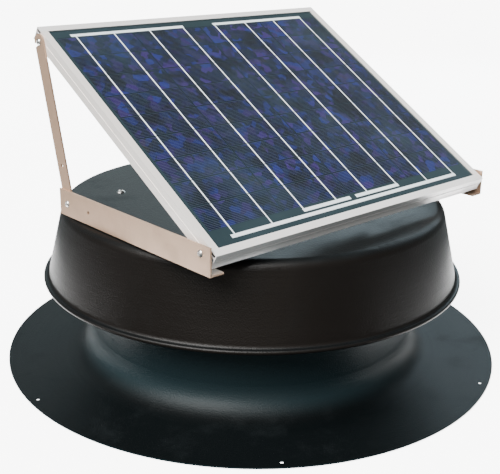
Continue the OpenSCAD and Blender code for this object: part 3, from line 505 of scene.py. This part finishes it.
# Points given along, across and up are set at a place, with up along the axis
def setAt(points, where, axis, spin=0.0):
    up = np.asarray(axis, float) / np.linalg.norm(axis)
    side = np.cross(up, (0.0, 0.0, 1.0) if abs(up[2]) < 0.9 else (0.0, 1.0, 0.0))
    side /= np.linalg.norm(side)
    other = np.cross(up, side)
    c, s = math.cos(spin), math.sin(spin)
    return np.asarray(where) + points @ np.array([c * side + s * other, c * other - s * side, up])


# 0 below low, 1 above high, smooth between
def smoothStep(value, low, high):
    f = np.clip((value - low) / (high - low), 0, 1)
    return f * f * (3 - 2 * f)


recess = {"half": 0.055, "halfEnd": 0.085, "reach": 0.24, "reachEnd": 0.29, "deep": 0.62}
thread = {"deep": 0.16, "taper": 0.2, "rowsPerTurn": 6}


# Screw: a domed head sunk where a point lies in either arm of the cross recess, and a
# shank whose radius falls by the thread's depth with the fraction of a turn from the crest
def crossScrew(d, length, headD, headH, pitch):
    around, rings, rad = 64, 26, headD / 2
    turns = np.linspace(0, 2 * math.pi, around, endpoint=False)
    ball = (rad ** 2 + headH ** 2) / (2 * headH)
    ring, angle = np.meshgrid(np.linspace(0.0002, 1, rings) * rad, turns, indexing="ij")
    x, y = ring * np.cos(angle), ring * np.sin(angle)
    thin, far = np.minimum(abs(x), abs(y)), np.maximum(abs(x), abs(y))
    arm = 1 - smoothStep(thin, recess["half"] * headD, recess["halfEnd"] * headD)
    arm = arm * (1 - smoothStep(far, recess["reach"] * headD, recess["reachEnd"] * headD))
    z = headH - ball + np.sqrt(ball ** 2 - ring ** 2)
    z = z - arm * headH * recess["deep"] * (1 - 0.5 * far / rad)
    dome = np.column_stack([x.ravel(), y.ravel(), z.ravel()])
    circle = np.column_stack([np.cos(turns), np.sin(turns), 0 * turns])
    rows = int(length / pitch * thread["rowsPerTurn"])
    depth, angle = np.meshgrid(np.linspace(0, -length, rows), turns[::2], indexing="ij")
    crest = abs(((depth / pitch - angle / (2 * math.pi)) % 1) - 0.5) * 2
    worn = 1 - smoothStep(-depth, length - pitch, length) * thread["taper"]
    q = d / 2 * (1 - thread["deep"] * crest * smoothStep(-depth, 0.0, pitch) * worn)
    shank = np.stack([q * np.cos(angle), q * np.sin(angle), depth], -1).reshape(-1, 3)
    tip = shank[-around // 2:]
    return joined([
        (dome, sheetFaces(rings, around)),
        (np.vstack([rad * circle, d / 2 * circle]), sheetFaces(2, around)),
        (shank, sheetFaces(rows, around // 2)),
        (np.vstack([tip, tip * (0.01, 0.01, 1)]), sheetFaces(2, around // 2)),
    ])


# Places on a circle, each with the screw's own axis and turn
def ringOf(radius, z, bearings, outward=False):
    for k, a in enumerate(np.radians(bearings)):
        way = (math.cos(a), math.sin(a), 0)
        yield (radius * way[0], radius * way[1], z), way if outward else (0, 0, 1), 0.7 * k


straight, diagonal = [0, 90, 180, 270], [45, 135, 225, 315]
hookPlace = fromPanel([(0, 0.335, 0)])[0]
boxPlaces = fromPanel([(x, v, -0.01345) for x in (-0.036, 0.036) for v in (0.012, 0.056)])
downPanel = (0, math.sin(hinge["tilt"]), -math.cos(hinge["tilt"]))


# The same place at the left and the right of the panel, each facing outward
def bothSides(x, y, z):
    return [((-x, y, z), (-1, 0, 0), 0.4), ((x, y, z), (1, 0, 0), 1.1)]


# Body; shank, length, head, head's height and thread pitch; places
fasteners = {
    "shroud_screws": ("base", (0.0048, 0.008, 0.011, 0.0028, 0.0016),
                      list(ringOf(0.168, 0.196, diagonal))),
    "throat_screws": ("base", (0.0048, 0.009, 0.009, 0.0026, 0.0016),
                      [*ringOf(0.2045, 0.108, diagonal, True), *ringOf(0.2045, 0.094, diagonal, True),
                       *ringOf(0.2045, 0.104, straight, True)]),
    "rail_screws": ("base", (0.005, 0.0107, 0.0095, 0.0026, 0.0008),
                    [((x, y, 0.1995), (0, 0, 1), 9 * x + 5 * y)
                     for x in (-0.2159, 0.2159) for y in (-0.035, 0.035)]),
    "strut_bolts": ("base", (0.004, 0.0086, 0.0076, 0.0022, 0.0007),
                    bothSides(0.2261, 0.07154, 0.212)),
    "pivot_bolts": ("panel", (0.004, 0.0101, 0.0076, 0.0022, 0.0007),
                    bothSides(0.2262, hinge["y"], hinge["z"])),
    "hook_screws": ("panel", (0.004, 0.008, 0.0076, 0.0022, 0.0007),
                    bothSides(0.2241, hookPlace[1], hookPlace[2])),
    "motor_screws": ("base", (0.004, 0.0085, 0.0076, 0.0022, 0.0007),
                     list(ringOf(0.035, 0.1245, [22.5, 112.5, 202.5, 292.5]))),
    "junction_screws": ("panel", (0.0028, 0.010, 0.0052, 0.0016, 0.0009),
                        [(p, downPanel, 0.5) for p in boxPlaces]),
}
for name, (body, size, places) in fasteners.items():
    points, faces = crossScrew(*size)
    points, faces = joined([(setAt(points, *place), faces) for place in places])
    piece(name + "_cut", points, faces, looks["stainless"], body, [name])
print("screws cut and threaded")


# Woven wire: each wire's radius swings by the weave's depth times plus or minus one
# from crossing to crossing, and a wire of square section follows that path
def wireMesh(g, turn):
    across = np.radians(np.linspace(turn - g["half"], turn + g["half"], g["cols"]))
    up = np.linspace(g["low"], g["high"], g["rows"])
    corner = np.array([(1, 1), (-1, 1), (-1, -1), (1, -1)]) * g["wire"]
    odd = (-1.0) ** np.add.outer(np.arange(g["cols"]), np.arange(g["rows"]))
    a, z = np.meshgrid(across, up, indexing="ij")
    reach = g["radius"] + g["swing"] * odd
    radial = np.stack([np.cos(a), np.sin(a), 0 * a], -1)[..., None, :]
    side = np.stack([-np.sin(a), np.cos(a), 0 * a], -1)[..., None, :]
    lift = np.array((0.0, 0.0, 1.0))
    spine = reach[..., None, None] * radial + z[..., None, None] * lift
    standing = spine + corner[:, :1] * radial + corner[:, 1:] * side
    reach = g["radius"] - g["swing"] * odd
    spine = reach[..., None, None] * radial + z[..., None, None] * lift
    lying = (spine + corner[:, :1] * radial - corner[:, 1:] * lift).transpose(1, 0, 2, 3)
    one, two = sheetFaces(g["rows"], 4), sheetFaces(g["cols"], 4)
    first = (np.arange(g["cols"]) * g["rows"] * 4)[:, None, None] + one
    second = standing.size // 3 + (np.arange(g["rows"]) * g["cols"] * 4)[:, None, None] + two
    points = np.vstack([standing.reshape(-1, 3), lying.reshape(-1, 3)])
    return points, np.vstack([first.reshape(-1, 4), second.reshape(-1, 4)])[:, ::-1]


# The half width is in degrees, and the wire is half its thickness
weave = {
    "radius": 0.2054, "half": 44.6, "low": 0.1200, "high": 0.1938, "cols": 98, "rows": 23,
    "swing": 0.0002, "wire": 0.00018,
}
for k in range(4):
    points, faces = wireMesh(weave, 90 * k)
    piece("screen_mesh_%d" % (k + 1), points, faces, looks["screen_wire"], "base",
          (), False)
print("wire mesh woven")


# Coils: a loop round each tooth on a squared ellipse, its section an ellipse whose
# thickness ripples with the turns of wire
def coilRing(g):
    n, m = 72, 40  # steps along the loop and round its section
    s, t = np.meshgrid(np.linspace(0, 2 * math.pi, n, endpoint=False),
                       np.linspace(0, 2 * math.pi, m, endpoint=False), indexing="ij")
    power = g["square"]
    bend = (abs(np.cos(s)) ** power + abs(np.sin(s)) ** power) ** (-1 / power)
    grow = g["thick"] * (1 + g["ripple"] * np.cos(g["wires"] * t)) * np.cos(t)
    out = g["middle"] + g["deep"] * np.sin(t)
    x, z = (g["wide"] + grow) * bend * np.cos(s), (g["tall"] + grow) * bend * np.sin(s)
    points = np.stack([out, x, z], -1).reshape(-1, 3)
    j, after, last = np.arange(m), (np.arange(m) + 1) % m, (n - 1) * m
    quads = np.vstack([sheetFaces(n, m), np.column_stack([last + j, j, after, last + after])])
    rings = []
    for k in range(g["teeth"]):
        a = 2 * math.pi * (k + 0.5) / g["teeth"]
        c, w = math.cos(a), math.sin(a)
        placed = points @ np.array([[c, w, 0], [-w, c, 0], [0, 0, 1]]) + (0, 0, g["z"])
        rings.append((placed, quads))
    return joined(rings)


coils = {
    "teeth": 12, "middle": 0.0322, "deep": 0.0034, "wide": 0.0068, "tall": 0.0129, "thick": 0.0009,
    "square": 5.0, "wires": 12, "ripple": 0.10, "z": 0.1000,
}
points, faces = coilRing(coils)
piece("stator_coils", points, faces, looks["copper_wire"], "base", ())
print("coils wound")

# Floor, light and camera
floor = {
    "glow": 6.0, "near": 0.62, "bearings": (-78, 166), "nearZ": -0.0006, "farZ": -0.0014,
    "flat": 9, "bend": 5, "height": 12, "steps": 97,
}
floorLook = Tree("floor")
floorSpot = floorLook.noise(floorLook.place(), 3.0, 3.0)
floorMat = floorLook.done(
    Base_Color=floorSpot.tint((0.95, 0.95, 0.95), (0.93, 0.93, 0.935)),
    Roughness=0.8,
    Specular_IOR_Level=0.1,
    Emission_Color=(1.0, 1.0, 1.0),
    Emission_Strength=floor["glow"],
)


# Floor sheet turned from an outline of radius and height between two bearings in degrees;
# only the near one is mirrored in the coat, and the far one curves up behind everything
def floorSheet(name, outline, bearings, mirrored):
    turns = np.radians(np.linspace(*bearings, floor["steps"]))
    radius, height = np.array(outline).T
    spots = [np.outer(radius, np.cos(turns)), np.outer(radius, np.sin(turns))]
    spots = np.stack([*spots, np.outer(height, 0 * turns + 1)], -1).reshape(-1, 3)
    faces = sheetFaces(len(outline), floor["steps"], False)
    mesh = bpy.data.meshes.new(name)
    mesh.from_pydata(spots.tolist(), [], faces.tolist())
    mesh.polygons.foreach_set("use_smooth", np.full(len(mesh.polygons), True))
    mesh.materials.append(floorMat)
    sheet = bpy.data.objects.new(name, mesh)
    sheet.visible_glossy = mirrored
    sheet.visible_diffuse = sheet.visible_shadow = False
    bpy.context.scene.collection.objects.link(sheet)


near, far, bend = (0.001, floor["nearZ"]), (0.001, floor["farZ"]), floor["bend"]
curve = [(floor["flat"] + bend * math.sin(a), bend - bend * math.cos(a) + floor["farZ"])
         for a in np.linspace(0, math.pi / 2, 13)]
wallTop = (floor["flat"] + bend, floor["height"])
floorSheet("floor_near", [near, (floor["near"], floor["nearZ"])], floor["bearings"], True)
floorSheet("floor_far", [far, *curve, wallTop], (0, 360), False)

studio = {
    "sky": (0.80, 0.95, 1.0, 1), "skyPower": 0.26,
    "key": 9.6, "keyWidth": 50, "keyColour": (1.0, 0.985, 0.96), "keyWay": (0.58, 0.13, -0.78),
}
world = bpy.data.worlds.new("studio")
bpy.context.scene.world = world
world.use_nodes = True
background = world.node_tree.nodes["Background"]
background.inputs[0].default_value = studio["sky"]
background.inputs[1].default_value = studio["skyPower"]


def softbox(name, where, towards, size, power, colour):
    data = bpy.data.lights.new(name, "AREA")
    data.shape = "RECTANGLE"
    data.size, data.size_y = size
    data.energy = power
    data.color = colour
    lamp = bpy.data.objects.new(name, data)
    lamp.location = where
    lamp.rotation_mode = "QUATERNION"
    lamp.rotation_quaternion = (Vector(towards) - Vector(where)).to_track_quat("-Z", "Y")
    bpy.context.scene.collection.objects.link(lamp)


# Place, spot it looks at, width and height, watts and colour
softboxes = {
    "back_right": ((2.3, 1.1, 1.12), (0, 0, 0), (2.2, 0.7), 22, (0.72, 0.90, 1.0)),
    "back_left": ((1.0, 2.3, 1.08), (0, 0, 0), (1.6, 0.7), 5, (0.80, 0.96, 1.0)),
    "front_warm": ((-2.0, -2.1, 0.62), (0, 0, 0.15), (2.6, 0.9), 9, (1.0, 0.85, 0.72)),
}
for name, settings in softboxes.items():
    softbox(name, *settings)
skyData = bpy.data.lights.new("wide_key", "SUN")
skyData.energy = studio["key"]
skyData.angle = math.radians(studio["keyWidth"])
skyData.color = studio["keyColour"]
sky = bpy.data.objects.new("wide_key", skyData)
sky.rotation_mode = "QUATERNION"
sky.rotation_quaternion = Vector(studio["keyWay"]).to_track_quat("-Z", "Y")
bpy.context.scene.collection.objects.link(sky)

# The camera looks forward from its place, leaning by degrees from level
view = {
    "lens": 66.4, "place": (-0.7604, -0.8174, 0.5271), "lean": 0.936,
    "forward": (0.6415, 0.6938, -0.3272), "level": (0.7342, -0.6789, 0.0),
}
cameraData = bpy.data.cameras.new("camera")
cameraData.lens = view["lens"]
cameraData.sensor_width = 36
camera = bpy.data.objects.new("camera", cameraData)
forward = Vector(view["forward"]).normalized()
level = Vector(view["level"]).normalized()
above = level.cross(forward)
lean = math.radians(view["lean"])
right = level * math.cos(lean) + above * math.sin(lean)
over = above * math.cos(lean) - level * math.sin(lean)
turn = Matrix((right, over, -forward)).transposed()
camera.matrix_world = Matrix.Translation(view["place"]) @ turn.to_4x4()
bpy.context.scene.collection.objects.link(camera)
bpy.context.scene.camera = camera
print("stage ready")
